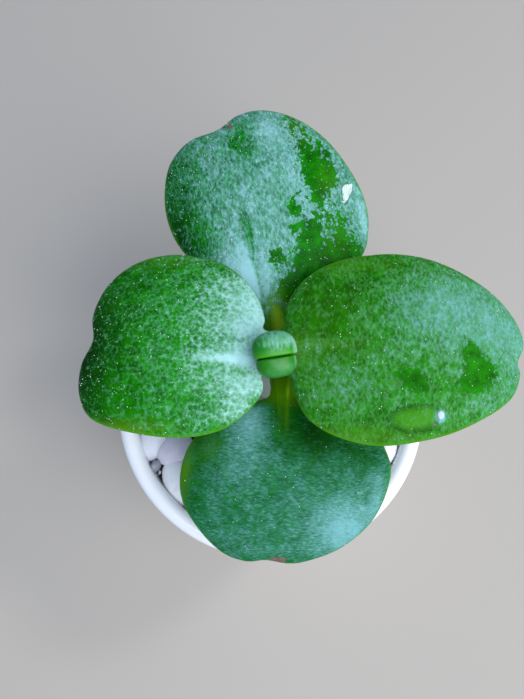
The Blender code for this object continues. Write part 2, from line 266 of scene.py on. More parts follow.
def grown(base, tree, **values):
    """Runs a Geometry Nodes tree on a mesh, and returns the result as a plain mesh."""
    bed = added("bed", base)
    modifier = bed.modifiers.new("grow", "NODES")
    modifier.node_group = tree
    for item in tree.interface.items_tree:
        if item.in_out == "INPUT" and item.name in values:
            modifier[item.identifier] = values[item.name]
    return plain_mesh(bed)


crumb_sizes = dict(Spacing=CRUMB_SPACING * MM, Smallest=CRUMB_SIZES[0] * MM,
                   Largest=CRUMB_SIZES[1] * MM, Seed=4)
tree, given = growth_tree("strewn_crumbs", **crumb_sizes)
strewn = node(tree, "GeometryNodeDistributePointsOnFaces",
              {"Mesh": given["Geometry"], "Distance Min": given["Spacing"],
               "Density Max": MOST_CRUMBS_PER_MM2 / MM ** 2, "Seed": given["Seed"]},
              distribute_method="POISSON")
crumb = node(tree, "GeometryNodeMeshIcoSphere", {"Radius": 1.0, "Subdivisions": 1})
spin = node(tree, "FunctionNodeRandomValue",
            {1: (math.tau, math.tau, math.tau), "Seed": given["Seed"]}, data_type="FLOAT_VECTOR")
size = node(tree, "FunctionNodeRandomValue",
            {2: given["Smallest"], 3: given["Largest"], "Seed": given["Seed"]})
laid = node(tree, "GeometryNodeInstanceOnPoints",
            {"Points": strewn, "Instance": crumb, "Rotation": spin, "Scale": size})
real = node(tree, "GeometryNodeRealizeInstances", {0: laid})
chips = node(tree, "TexNoise", {"Scale": 900.0, "Detail": 1.0})
push = node(tree, "VectorMath", {0: chips.outputs["Color"], 1: (0.5, 0.5, 0.5)},
            operation="SUBTRACT")
move = node(tree, "VectorMath", {0: push, "Scale": CRUMB_RAGGEDNESS * MM}, operation="SCALE")
ragged = node(tree, "GeometryNodeSetPosition", {0: real, "Offset": move})
finish_tree(tree, given, ragged)


def soil_disc():
    bm = bmesh.new()
    bmesh.ops.create_circle(bm, cap_ends=True, segments=64, radius=CRUMB_REACH * MM,
                            matrix=Matrix.Translation((0, 0, SOIL_TOP * MM)))
    return mesh_from(bm)


crumbs = grown(soil_disc(), tree, Material=potting_mix, **crumb_sizes)
piece("soil_crumbs", crumbs, potting_mix)


# The dressing: one layer of tumbled white quartz and marble pebbles, each 6 to 9 mm long, laid
# on the soil in rings out to the pot's wall, with a ring close round the stem. They lie loose
# and touch, and follow the rule of the CAD node's pebbles.

GAP = 0.3
PEBBLE_RINGS = ((24.8, 22), (19.0, 17), (13.5, 12), (8.1, 7), (3.0, 3))
PEBBLE_LONG = (3.9, 4.7)
PEBBLE_SHORT = (3.3, 3.8)
PEBBLE_HEIGHT = (1.9, 2.5)
PEBBLE_REACH = 28.6
PEBBLE_WANDER = 0.12
PEBBLE_TILT = 0.16
PEBBLE_CLEARANCE = 4.4
PEBBLE_SEED = 7
PEBBLE_SEAT = 0.94
DRIFT_SPAN = 50
STEM_FOOT = (2.9, 8.7)
STEM_RING_RADIUS = 7.3
STEM_RING_COUNT = 7
STEM_RING_START = -128.0
BARE_SPOT = (-23.4, -14.0)
# The pebbles that show beside the leaves: centre, half length, half width, turn in degrees, and
# shade, from 0 for white to 1 for grey
SHOWN_PEBBLES = (
    ((-24.4, -7.3), 5.5, 3.1, 78.0, 0.35),
    ((-20.0, -10.4), 4.2, 3.0, 27.0, 0.55),
    ((-18.0, -17.9), 6.0, 3.7, 133.0, 0.05),
    ((-24.4, -14.1), 1.4, 1.0, 60.0, 1.0),
    ((22.7, -10.4), 4.4, 3.4, 65.0, 0.1),
)


def far_from(spot, others, distance):
    return all(math.dist(spot, other) > distance for other in others)


def ring_spots(centre, radius, count, start, pick, wander):
    """Places round a circle, each with the turn in degrees that lays a pebble along it."""
    for number in range(count):
        angle = start + math.tau * (number + pick.uniform(-wander, wander)) / count
        spot = (centre[0] + radius * math.cos(angle), centre[1] + radius * math.sin(angle))
        yield spot, math.degrees(angle) + 90


def pebble_bed():
    """One vertex for each pebble, which carries its half sizes, turn, drift of shape and shade."""
    pick = random.Random(PEBBLE_SEED)
    shades = random.Random(PEBBLE_SEED)
    bm = bmesh.new()
    size_layer = bm.verts.layers.float_vector.new("half_sizes")
    turn_layer = bm.verts.layers.float_vector.new("turn")
    drift_layer = bm.verts.layers.float_vector.new("drift")
    shade_layer = bm.verts.layers.float.new("shade")

    def lay(spot, sizes, turn, shade):
        drift = [pick.uniform(0, DRIFT_SPAN) for axis in range(3)]
        tilt = pick.uniform(-PEBBLE_TILT, PEBBLE_TILT)
        centre = Vector(spot)
        pull = max(0.0, centre.length + sizes[1] - PEBBLE_REACH)
        centre -= centre.normalized() * pull
        place = Vector((centre.x, centre.y, SOIL_TOP + GAP + PEBBLE_SEAT * sizes[2]))
        vertex = bm.verts.new(place * MM)
        vertex[size_layer] = Vector(sizes) * MM
        vertex[turn_layer] = Vector((tilt, 0, math.radians(turn)))
        vertex[drift_layer] = Vector(drift)
        vertex[shade_layer] = shade

    def random_sizes():
        return [pick.uniform(*span) for span in (PEBBLE_LONG, PEBBLE_SHORT, PEBBLE_HEIGHT)]

    taken = [BARE_SPOT]
    for spot, long, short, turn, shade in SHOWN_PEBBLES:
        lay(spot, (long, short, pick.uniform(*PEBBLE_HEIGHT)), turn, shade)
        taken.append(spot)
    start = math.radians(STEM_RING_START)
    for spot, turn in ring_spots(STEM_FOOT, STEM_RING_RADIUS, STEM_RING_COUNT, start, pick, 0):
        lay(spot, random_sizes(), turn, 0.0)
        taken.append(spot)
    for radius, count in PEBBLE_RINGS:
        start = pick.uniform(0, math.tau)
        for spot, turn in ring_spots((0, 0), radius, count, start, pick, PEBBLE_WANDER):
            free = far_from(spot, taken, PEBBLE_CLEARANCE)
            if free and math.dist(spot, STEM_FOOT) > STEM_RING_RADIUS:
                lay(spot, random_sizes(), turn, shades.random())
    return mesh_from(bm)


# Tumbled white quartz and marble: milky and waxy, some stones greyer or faintly pink, with soft
# cloudy veins. Light goes a little way in, so the shadows between them stay pale.
quartz, tree, shader = blank_material("tumbled_quartz", Roughness=0.42, Subsurface_Weight=0.25,
                                      Subsurface_Radius=(1.0, 1.0, 1.0), Subsurface_Scale=1.2 * MM)
where = node(tree, "TexCoord").outputs["Object"]
shade = node(tree, "Attribute", attribute_name="shade")
tint = node(tree, "ValToRGB", {0: shade.outputs["Fac"]})
for position, code in ((0.3, "DDE0E6"), (0.6, "D8D0DE"), (1.0, "8E9098")):
    stop = tint.color_ramp.elements.new(position)
    stop.color = colour(code)
tint.color_ramp.elements[0].color = colour("FAFAFA")
veins = node(tree, "TexNoise", {"Vector": where, "Scale": 260, "Detail": 4, "Distortion": 1.5})
thin = node(tree, "MapRange", {0: veins, 1: 0.5, 2: 0.7, 3: 0.0, 4: 0.3})
veined = node(tree, "Mix", {0: thin, 6: tint, 7: colour("C9C6CE")}, data_type="RGBA")
grain = node(tree, "TexNoise", {"Vector": where, "Scale": 1400, "Detail": 3})
frosted = node(tree, "Bump", {"Height": grain, "Strength": 0.5, "Distance": 0.06 * MM})
fill(shader, {"Base Color": veined, "Normal": frosted})

pebble_sizes = dict(Bumps=0.10, BumpBias=-0.42, BumpRate=1.3, Dents=0.02, DentRate=4.0)
tree, given = growth_tree("tumbled_pebbles", **pebble_sizes)
here = node(tree, "GeometryNodeInputPosition")
centre = node(tree, "GeometryNodeStoreNamedAttribute",
              {0: given["Geometry"], "Name": "centre", "Value": here},
              data_type="FLOAT_VECTOR", domain="POINT")
ball = node(tree, "GeometryNodeMeshIcoSphere", {"Radius": 1.0, "Subdivisions": 4})
marked = node(tree, "GeometryNodeStoreNamedAttribute", {0: ball, "Name": "ball", "Value": here},
              data_type="FLOAT_VECTOR", domain="POINT")
turn, half, drift, spot, middle = (
    node(tree, "GeometryNodeInputNamedAttribute", {"Name": name}, data_type="FLOAT_VECTOR")
    for name in ("turn", "half_sizes", "drift", "ball", "centre")
)
facing = node(tree, "FunctionNodeEulerToRotation", {0: turn})
laid = node(tree, "GeometryNodeInstanceOnPoints",
            {"Points": centre, "Instance": marked, "Rotation": facing, "Scale": half})
real = node(tree, "GeometryNodeRealizeInstances", {0: laid})
own = node(tree, "VectorMath", {0: spot, 1: drift})
swell = node(tree, "TexNoise", {"Vector": own, "Scale": given["BumpRate"], "Detail": 0.0})
dent = node(tree, "TexNoise", {"Vector": own, "Scale": given["DentRate"], "Detail": 1.0})
wide = node(tree, "Math", {0: swell, 1: given["BumpBias"]})
wide = node(tree, "Math", {0: wide, 1: given["Bumps"]}, operation="MULTIPLY")
small = node(tree, "Math", {0: dent, 1: 0.5}, operation="SUBTRACT")
both = node(tree, "Math", {0: small, 1: given["Dents"], 2: wide}, operation="MULTIPLY_ADD")
out = node(tree, "VectorMath", {0: here, 1: middle}, operation="SUBTRACT")
move = node(tree, "VectorMath", {0: out, "Scale": both}, operation="SCALE")
worn = node(tree, "GeometryNodeSetPosition", {0: real, "Offset": move})
finish_tree(tree, given, worn)

pebbles = grown(pebble_bed(), tree, Material=quartz, **pebble_sizes)
piece("pebble_dressing", pebbles, quartz, "pebbles")

# Chips of the same stone, 1 to 2 mm across, that have sifted down between the pebbles
chip_sizes = dict(Spacing=1.3 * MM, Smallest=0.5 * MM, Largest=1.0 * MM, Seed=6)
chips = grown(soil_disc(), bpy.data.node_groups["strewn_crumbs"], Material=quartz, **chip_sizes)
piece("quartz_chips", chips, quartz)


# The stem: a short fleshy green stem, thicker where each pair of leaves joins it, which goes
# down through the pebbles into its hole in the soil.

STEM_LINE = (
    ((3.7, 9.8, 36.5), 1.8),
    ((3.4, 9.5, 41.0), 2.6),
    ((2.9, 8.7, 49.0), 3.0),
    ((2.5, 7.7, 56.0), 3.1),
    ((2.1, 6.9, 63.5), 3.5),
    ((1.6, 5.9, 69.0), 3.0),
    ((0.9, 4.5, 75.0), 3.1),
    ((0.8, 3.95, 76.6), 3.0),
)
STEM_RUN_STEPS = 12
STEM_ROUND_STEPS = 10

# Soft green stem: olive and waxy, browner and corky towards the soil, with fine ridges along it.
green_stem, tree, shader = blank_material("fleshy_green_stem", Roughness=0.42)
where = node(tree, "TexCoord").outputs["Object"]
height = node(tree, "SeparateXYZ", {"Vector": where}).outputs["Z"]
climb = node(tree, "MapRange", {0: height, 1: 50 * MM, 2: 64 * MM})
base = node(tree, "Mix", {0: climb, 6: colour("6F6A2C"), 7: colour("5B8016")}, data_type="RGBA")
along = node(tree, "Mapping", {"Vector": where, "Scale": (1, 1, 0.15)})
ridges = node(tree, "TexNoise", {"Vector": along, "Scale": 1500, "Detail": 3})
lines = node(tree, "MapRange", {0: ridges, 1: 0.4, 2: 0.65, 3: 0.0, 4: 0.6})
streaked = node(tree, "Mix", {0: lines, 6: base, 7: colour("8FA63C")}, data_type="RGBA")
relief = node(tree, "Bump", {"Height": ridges, "Distance": 0.12 * MM})
fill(shader, {"Base Color": streaked, "Normal": relief})


def stem_mesh():
    curve = bpy.data.curves.new("stem_line", "CURVE")
    curve.dimensions = "3D"
    curve.resolution_u = STEM_RUN_STEPS
    curve.bevel_depth = 1.0
    curve.bevel_resolution = STEM_ROUND_STEPS
    curve.use_fill_caps = True
    spline = curve.splines.new("BEZIER")
    spline.radius_interpolation = "CARDINAL"
    spline.bezier_points.add(len(STEM_LINE) - 1)
    for point, (place, radius) in zip(spline.bezier_points, STEM_LINE):
        point.co = Vector(place) * MM
        point.radius = radius * MM
        point.handle_left_type = "AUTO"
        point.handle_right_type = "AUTO"
    bm = bmesh.new()
    bm.from_mesh(plain_mesh(added("stem_line", curve)))
    bmesh.ops.remove_doubles(bm, verts=bm.verts, dist=WELD * MM)
    return mesh_from(bm)


piece("fleshy_stem", stem_mesh(), green_stem, "stem")


# The leaves: four thick round leaves in two crossed pairs, the lower pair on short stalks. Each
# is water-filled green flesh under a waxy pale bloom, which is rubbed or washed off in patches.
# They grow from the stem, so their bases run into it.

LEAF_STEPS = 192
LEAF_RINGS = 72
TOP_LIFT = 1.35
UNDER_LIFT = 2.2
STALK_EXTRA = 0.5
STALK_SHARE = 0.3
EDGE_BLUNTNESS = 0.8
MIDDLE_SHARE = 0.5
SPREAD_MIX = 0.2
MARGIN_WIDTH = 3.0
SWELL_HEIGHT = 0.22
SWELL_SPACING = 7.0
STALK_FADE = 3.0
FAN_REACH = 16.0
FAN_TURN_RATE = 10
FAN_RUN_RATE = 0.3


def smooth_loop(points, steps=24):
    """A closed smooth line through the points, as many short straight runs."""
    knots = [Vector((x, y, 0)) for x, y in points]
    count = len(knots)
    line = []
    for index in range(count):
        before, here, there, after = (knots[(index + shift) % count] for shift in (-1, 0, 1, 2))
        leave = here + (there - before) / 6
        arrive = there - (after - here) / 6
        line += geometry.interpolate_bezier(here, leave, arrive, there, steps + 1)[:-1]
    return line


def spaced(line, count):
    """Equally spaced points round a closed line."""
    ends = line[1:] + line[:1]
    lengths = [(end - start).length for start, end in zip(line, ends)]
    step = sum(lengths) / count
    points = []
    walked = 0.0
    for start, end, length in zip(line, ends, lengths):
        while len(points) < count and len(points) * step <= walked + length:
            points.append(start.lerp(end, (len(points) * step - walked) / length))
        walked += length
    return points


def bend(leaf, along, across, lift):
    """Carries a point of the flat leaf, lift above its middle layer, to the leaf on its stem."""
    length = leaf["length"]
    rise = math.radians(leaf["rise"])
    turn = math.radians(leaf["fall"]) - rise
    share = along / length
    slope = rise + turn * share
    run = length * (math.sin(slope) - math.sin(rise)) / turn
    climb = length * (math.cos(rise) - math.cos(slope)) / turn
    cup = max(0.0, 1 - share / leaf["cup_end"])
    curl = leaf["droop"] + (leaf["cup"] - leaf["droop"]) * cup
    angle = curl * across
    side = lift * math.sin(angle) + across
    up = lift * math.cos(angle)
    if abs(angle) > 1e-6:
        side = lift * math.sin(angle) + math.sin(angle) / curl
        up = lift * math.cos(angle) - (1 - math.cos(angle)) / curl
    roll = math.radians(leaf["roll"])
    side, up = (side * math.cos(roll) - up * math.sin(roll),
                side * math.sin(roll) + up * math.cos(roll))
    bent = Vector((run - up * math.sin(slope), side, climb + up * math.cos(slope)))
    return Vector(leaf["root"]) + Matrix.Rotation(math.radians(leaf["heading"]), 3, "Z") @ bent


def ball_shell(steps, rings):
    """A closed unit ball, always built in the same order, so that what is strewn on it stays."""
    bm = bmesh.new()
    rows = [[bm.verts.new((0, 0, 1))] * steps]
    for ring in range(1, rings):
        tilt = math.pi * ring / rings
        turns = [math.tau * step / steps for step in range(steps)]
        rows.append([bm.verts.new((math.sin(tilt) * math.cos(turn), math.sin(tilt) * math.sin(turn),
                                   math.cos(tilt))) for turn in turns])
    rows.append([bm.verts.new((0, 0, -1))] * steps)
    for upper, lower in zip(rows, rows[1:]):
        for step in range(steps):
            after = (step + 1) % steps
            corners = (upper[step], lower[step], lower[after], upper[after])
            bm.faces.new(tuple(dict.fromkeys(corners)))
    return bm


def haze(spot, base, lumps):
    """A base value plus soft lumps, each with its centre, its reaches along and across, and its
    weight at the centre.
    """
    for along, across, reach_along, reach_across, weight in lumps:
        far = ((spot.x - along) / reach_along) ** 2 + ((spot.y - across) / reach_across) ** 2
        base += weight * math.exp(-far)
    return base


def outline_point(line, ball):
    """The point of a flat outline that a point of the ball turns to, and how far out that lies."""
    turn = math.atan2(ball.y, ball.x) / math.tau
    return line[round(turn * len(line)) % len(line)], math.hypot(ball.x, ball.y)


def leaf_mesh(leaf):
    """The bent leaf. Its points carry their flat place, and how much of each look they have."""
    margin = spaced(smooth_loop(leaf["margin"]), LEAF_STEPS)
    middle = leaf["length"] * MIDDLE_SHARE
    bm = ball_shell(LEAF_STEPS, LEAF_RINGS)
    plan_layer = bm.verts.layers.float_vector.new("plan")
    fan_layer = bm.verts.layers.float_vector.new("fan")
    looks_layer = bm.verts.layers.float_color.new("looks")
    marks_layer = bm.verts.layers.float_color.new("marks")
    for vertex in bm.verts:
        ball = vertex.co
        edge, out = outline_point(margin, ball)
        spread = (1 - SPREAD_MIX) * (1 - (1 - out) ** 3) + SPREAD_MIX * out
        spot = Vector((middle + (edge.x - middle) * spread, edge.y * out, 0))
        thickness = 1 + STALK_EXTRA * max(0.0, 1 - spot.x / leaf["length"] / STALK_SHARE)
        layer = math.copysign(abs(ball.z) ** EDGE_BLUNTNESS, ball.z)
        lift = layer * thickness * (TOP_LIFT if layer > 0 else UNDER_LIFT)
        near = max(0.0, 1 - (spot - edge).length / MARGIN_WIDTH)
        swell = noise.noise(spot / SWELL_SPACING + Vector((0, 0, leaf["heading"])))
        lift += SWELL_HEIGHT * swell * (1 - near) ** 2
        if layer > 0:
            lift += layer * haze(spot, 0, leaf["grooves"])
        stalk = min(1.0, max(0.0, (leaf["stalk"] + STALK_FADE / 2 - spot.x) / STALK_FADE))
        fan = Vector((spot.x - leaf["fan"], spot.y))
        vertex[plan_layer] = Vector((spot.x, spot.y, lift))
        vertex[fan_layer] = Vector((FAN_TURN_RATE * math.atan2(fan.y, fan.x),
                                    FAN_RUN_RATE * fan.length, 0))
        # Looks are bloom, bare, sunny and near the edge. Marks are cork, wet, rayed, and painted
        # shade where a leaf faces away from the light or lies under another leaf.
        vertex[looks_layer] = (haze(spot, leaf["haze"], leaf["bloom"]) - stalk,
                               haze(spot, 0, leaf["bare"]),
                               haze(spot, stalk, leaf["sunny"]), near)
        vertex[marks_layer] = (haze(spot, 0, leaf["cork"]), haze(spot, 0, leaf["wet"]),
                               min(1.0, max(0.0, 2 - 2 * fan.length / FAN_REACH)),
                               haze(spot, 0, leaf["painted_shade"]))
        vertex.co = bend(leaf, spot.x, spot.y, lift) * MM
    return mesh_from(bm)


def leaf_skin(name, streak, contrast, netting, dark, bright, thin, thick):
    """Crassula leaf skin: bright green flesh under a pale waxy bloom that lies as fine mottles
    and a net, with greener cells between. Where the bloom is rubbed off the flesh is glossy, and
    elsewhere it has a soft frosted shine. A wet patch is smoother, with painted shade along its
    shore. Painted shade darkens the flesh where a leaf faces away from the light or lies under
    another, and a painted glow lights up a stalk. Scars are dry and corky. Streak stretches the
    pattern, and thin and thick are the bloom's colours, whose blue is partly a painted reflection
    of the sky.
    """
    material, tree, shader = blank_material(name, IOR=1.4, Specular_IOR_Level=0.06)
    plan = node(tree, "Attribute", attribute_name="plan").outputs["Vector"]
    fan = node(tree, "Attribute", attribute_name="fan").outputs["Vector"]
    looks = node(tree, "Attribute", attribute_name="looks")
    marks = node(tree, "Attribute", attribute_name="marks")
    near = looks.outputs["Alpha"]
    painted_shade = marks.outputs["Alpha"]
    density, bare, sunny = node(tree, "SeparateColor", {"Color": looks}).outputs[:3]
    corky, wet, rayed = node(tree, "SeparateColor", {"Color": marks}).outputs[:3]
    grain = node(tree, "Mapping", {"Vector": plan, "Scale": streak}).outputs[0]

    cloud = node(tree, "TexNoise", {"Vector": plan, "Scale": 0.5, "Detail": 5, "Roughness": 0.65})
    depth = node(tree, "MapRange", {0: cloud, 1: 0.35, 2: 0.65})
    flesh = node(tree, "Mix", {0: depth, 6: colour(dark), 7: colour(bright)}, data_type="RGBA")
    # Painted shade: the flesh darkens towards near black green where a leaf faces away from the
    # light or lies under another leaf.
    shaded = node(tree, "Mix", {0: painted_shade, 6: flesh, 7: colour("063204")}, data_type="RGBA")
    lit = node(tree, "Mix", {0: sunny, 6: shaded, 7: colour("4A7C04")}, data_type="RGBA")
    # Painted light: where sunny passes 1.2 a stalk is painted a bright glow, which stands for light
    # shining through it.
    painted_glow = node(tree, "MapRange", {0: sunny, 1: 1.2, 2: 2.2})
    lit = node(tree, "Mix", {0: painted_glow, 6: lit, 7: colour("9CC828")}, data_type="RGBA")
    # The lighter margin is partly the leaf's own yellow edge and partly a painted glow of light
    # through the thin edge.
    rim = node(tree, "MapRange", {0: near, 1: 0.75, 2: 1.0, 3: 0.0, 4: 0.8})
    flesh = node(tree, "Mix", {0: rim, 6: lit, 7: colour("4F9410")}, data_type="RGBA")

    mottle = node(tree, "TexNoise", {"Vector": grain, "Scale": 1.9, "Detail": 3, "Roughness": 0.65})
    rays = node(tree, "TexNoise", {"Vector": fan, "Scale": 1.6, "Detail": 3, "Roughness": 0.6})
    ray_share = node(tree, "Math", {0: rayed, 1: 0.75}, operation="MULTIPLY")
    fine = node(tree, "Mix", {0: ray_share, 2: mottle, 3: rays})
    warp = node(tree, "TexNoise", {"Vector": grain, "Scale": 1.4, "Detail": 2})
    bent = node(tree, "VectorMath", {0: warp.outputs["Color"], 1: (1, 1, 1), 2: grain},
                operation="MULTIPLY_ADD")
    cells = node(tree, "TexVoronoi", {"Vector": bent, "Scale": 1.1})
    drifts = node(tree, "TexNoise", {"Vector": plan, "Scale": 0.4, "Detail": 3})
    pattern = node(tree, "Math", {0: fine, 1: contrast, 2: -0.5 * contrast},
                   operation="MULTIPLY_ADD")
    pattern = node(tree, "Math", {0: cells, 1: netting, 2: pattern}, operation="MULTIPLY_ADD")
    pattern = node(tree, "Math", {0: drifts, 1: 0.9, 2: pattern}, operation="MULTIPLY_ADD")
    pattern = node(tree, "Math", {0: pattern, 1: 0.45 * netting + 0.45}, operation="SUBTRACT")
    calm = node(tree, "MapRange", {0: density, 1: 0.25, 2: 0.75, 3: 1.0, 4: 0.35})
    wanted = node(tree, "Math", {0: pattern, 1: calm, 2: density}, operation="MULTIPLY_ADD")
    bloom = node(tree, "MapRange", {0: wanted, 1: 0.0, 2: 0.9, 3: 0.0, 4: 0.9})
    tone_share = node(tree, "MapRange", {0: density, 1: 0.6, 2: 1.0, 3: 0.45, 4: 0.2})
    tone = node(tree, "Math", {0: pattern, 1: tone_share, 2: density}, operation="MULTIPLY_ADD")
    heavy = node(tree, "MapRange", {0: tone, 1: 0.35, 2: 1.15})
    torn = node(tree, "TexNoise", {"Vector": plan, "Scale": 1.0, "Detail": 4, "Roughness": 0.75})
    ragged = node(tree, "Math", {0: torn, 1: 2.2, 2: bare}, operation="MULTIPLY_ADD")
    kept = node(tree, "MapRange", {0: ragged, 1: 1.58, 2: 1.64, 3: 1.0, 4: 0.0},
                interpolation_type="SMOOTHSTEP")
    cover = node(tree, "Math", {0: bloom, 1: kept}, operation="MULTIPLY")
    # The wet patch: the dark line along its shore and the darker flesh near the shore are painted
    # shade. Its middle keeps the wet flesh's brighter green.
    shore = node(tree, "Math", {0: torn, 1: 0.9, 2: wet}, operation="MULTIPLY_ADD")
    soaked = node(tree, "MapRange", {0: shore, 1: 0.82, 2: 0.98}, interpolation_type="SMOOTHSTEP")
    painted_shore_shade = node(tree, "Math", {0: soaked, 1: 0.5}, operation="PINGPONG")
    clear = node(tree, "Math", {0: soaked, 1: 0.5, 2: rim}, operation="MULTIPLY_ADD")
    clear = node(tree, "MapRange", {0: clear, 3: 1.0, 4: 0.0})
    cover = node(tree, "Math", {0: cover, 1: clear}, operation="MULTIPLY")
    pool = node(tree, "MapRange", {0: shore, 1: 0.95, 2: 1.5})
    drowned = node(tree, "Mix", {0: pool, 6: colour("145A00"), 7: colour("388404")},
                   data_type="RGBA")
    flesh = node(tree, "Mix", {0: soaked, 6: flesh, 7: drowned}, data_type="RGBA")
    # The bloom's pale blue is partly its own colour and partly a painted reflection of the sky.
    frost = node(tree, "Mix", {0: heavy, 6: colour(thin), 7: colour(thick)}, data_type="RGBA")
    top = node(tree, "Mix", {0: cover, 6: flesh, 7: frost}, data_type="RGBA")
    top = node(tree, "Mix", {0: painted_shore_shade, 6: top, 7: colour("003000")}, data_type="RGBA")
    crust = node(tree, "TexNoise", {"Vector": plan, "Scale": 1.5, "Detail": 4})
    dry = node(tree, "Math", {0: crust, 1: 0.8, 2: corky}, operation="MULTIPLY_ADD")
    dry = node(tree, "MapRange", {0: dry, 1: 0.85, 2: 1.0})
    cork = node(tree, "Mix", {0: crust, 6: colour("443429"), 7: colour("8A7668")}, data_type="RGBA")
    top = node(tree, "Mix", {0: dry, 6: top, 7: cork}, data_type="RGBA")

    layer = node(tree, "SeparateXYZ", {"Vector": plan}).outputs["Z"]
    below = node(tree, "MapRange", {0: layer, 1: -0.9, 2: -0.2, 3: 1.0, 4: 0.0})
    under = node(tree, "Mix", {0: mottle, 6: colour("33701C"), 7: colour("6E9C62")},
                 data_type="RGBA")
    skin = node(tree, "Mix", {0: below, 6: top, 7: under}, data_type="RGBA")
    dull = node(tree, "MapRange", {0: cover, 2: 0.7, 3: 0.38, 4: 0.55})
    dull = node(tree, "MapRange", {0: soaked, 3: dull, 4: 0.3})
    pimples = node(tree, "TexNoise", {"Vector": plan, "Scale": 2.2, "Detail": 2})
    relief = node(tree, "Bump", {"Height": pimples, "Strength": 0.25, "Distance": 0.12 * MM})
    fill(shader, {"Base Color": skin, "Roughness": dull, "Normal": relief})
    return material


# A leaf's margin is drawn flat, in millimetres: first number out along the midrib from the stem's
# middle, second across it. Angles are in degrees. Cup and droop are the curve across, per mm.
# Haze is how thick the bloom lies in general. The lumps change that, or rub the bloom off, turn
# the flesh yellower, leave cork, wet it, paint shade, or press grooves. Some bloom lumps paint
# light and shade too: thinner bloom, so darker green, where a leaf faces away from the light, and
# thicker, paler bloom where light falls on it. Sunny above one paints a glow of light on a stalk.
left_leaf = dict(
    root=(0.8, 4.4, 75.0), heading=178.5, length=34.0, rise=30.0, fall=-26.0, roll=0.0,
    cup=-0.010, droop=0.016, cup_end=0.45, stalk=-5.0,
    margin=(
        (0, -3), (3, -4.2), (2.9, -6.4), (5.2, -11.3), (11, -16), (19, -18), (27, -16.6),
        (32.5, -12.5), (34.8, -6.5), (34, -1.3), (36.2, 3.4), (36.5, 8.5), (33.8, 12.7),
        (26, 15.1), (17, 15.9), (10, 14.4), (5.5, 11), (2.9, 7.4), (3.1, 4.6), (0, 3.2),
    ),
    haze=0.08, fan=-2.0,
    bloom=(
        (3, -1, 12.5, 22, 0.9), (10.5, 2.3, 7, 0.7, 0.4), (8, -1.2, 5, 1.2, -0.2),
        (8, 4.4, 4, 0.8, -0.22), (12, -7, 5, 1.5, -0.12), (13, 9, 4, 1, -0.12),
        # The thin bloom at the far end, (33, 0), is painted shade where the leaf turns away from
        # the light.
        (22, -12, 8, 3.5, -0.15), (33, 0, 7, 13, -0.3), (24, 11, 9, 5, -0.12),
        (9, 14.3, 4, 1.3, -0.6), (4, 10, 1.4, 2.6, -0.55), (9, -15.2, 4, 1.5, -0.45),
    ),
    bare=(), painted_shade=((35, 1, 6.5, 14, 1.0), (28, -4, 4, 6, 0.2)),
    sunny=((27, 14.5, 8, 1.6, 0.8), (22, -16.5, 8, 2, 0.35)), cork=(), wet=(),
    grooves=((10, 0, 8, 0.7, -0.12),),
)
right_leaf = dict(
    root=(0.8, 4.4, 75.0), heading=-2.5, length=42.0, rise=30.0, fall=-18.0, roll=0.0,
    cup=-0.010, droop=0.013, cup_end=0.4, stalk=-5.0,
    margin=(
        (0, -3), (3, -4.6), (3.8, -7.5), (6.5, -12), (11.7, -15), (19, -16.2), (28.5, -14.4),
        (36, -11), (41.2, -7.2), (43, -3.2), (42.6, -1), (44.2, 3), (42.2, 8), (37, 13),
        (28.3, 17.3), (19.3, 18.5), (11.4, 16.9), (5.3, 13.5), (1.8, 8.6), (1.6, 5.4), (0, 3),
    ),
    haze=0.2, fan=-2.0,
    bloom=(
        # The thick bloom at the tip, (42, 3), is partly a painted reflection of the sky.
        (42, 3, 10, 10, 0.5), (30, 9, 9, 7, 0.35), (24, 4, 9, 8, 0.2), (12, -6, 6, 4, 0.25),
        (8, 0.8, 3.5, 1, 0.2), (8, 9, 9, 8, -0.2), (16, -15, 12, 3, -0.05),
        # The heavy lump at (28.1, -11.1), under the bead, is a painted highlight: the pale spot of
        # the bead's reflection.
        (36, -9, 6, 4, 0.15), (28.1, -11.1, 0.7, 0.8, 2.5),
    ),
    bare=(
        (33.3, 0, 1.3, 1.8, 1.1), (35.2, -3.0, 3.1, 2.5, 1.1), (33.3, -5.8, 2.5, 1.4, 1.1),
        (22.8, -4.4, 2.0, 1.4, 1.0), (24.6, -6.4, 1.9, 1.5, 1.0), (19, -9.3, 2.5, 0.9, 0.5),
        (20.5, 3, 2, 1.6, 0.3), (12, 7, 4, 3, 0.3),
    ),
    painted_shade=((9, 9, 8, 6, 0.35),),
    sunny=((3, 0, 4, 3, 0.6), (16, -14.8, 12, 2, 0.45), (10, 0.5, 6, 1, 0.3), (14, 16, 9, 1.8, 0.3),
           (9, 2, 8, 13, 0.15)),
    cork=((27.5, -12.3, 0.5, 0.5, 0.75),),
    wet=((22.3, -11.8, 2.8, 2, 1.0), (25.2, -11.4, 2.6, 2.4, 0.7), (26.6, -10.9, 1.3, 1.6, 0.7)),
    grooves=((10, 0.3, 8, 0.7, -0.12),),
)
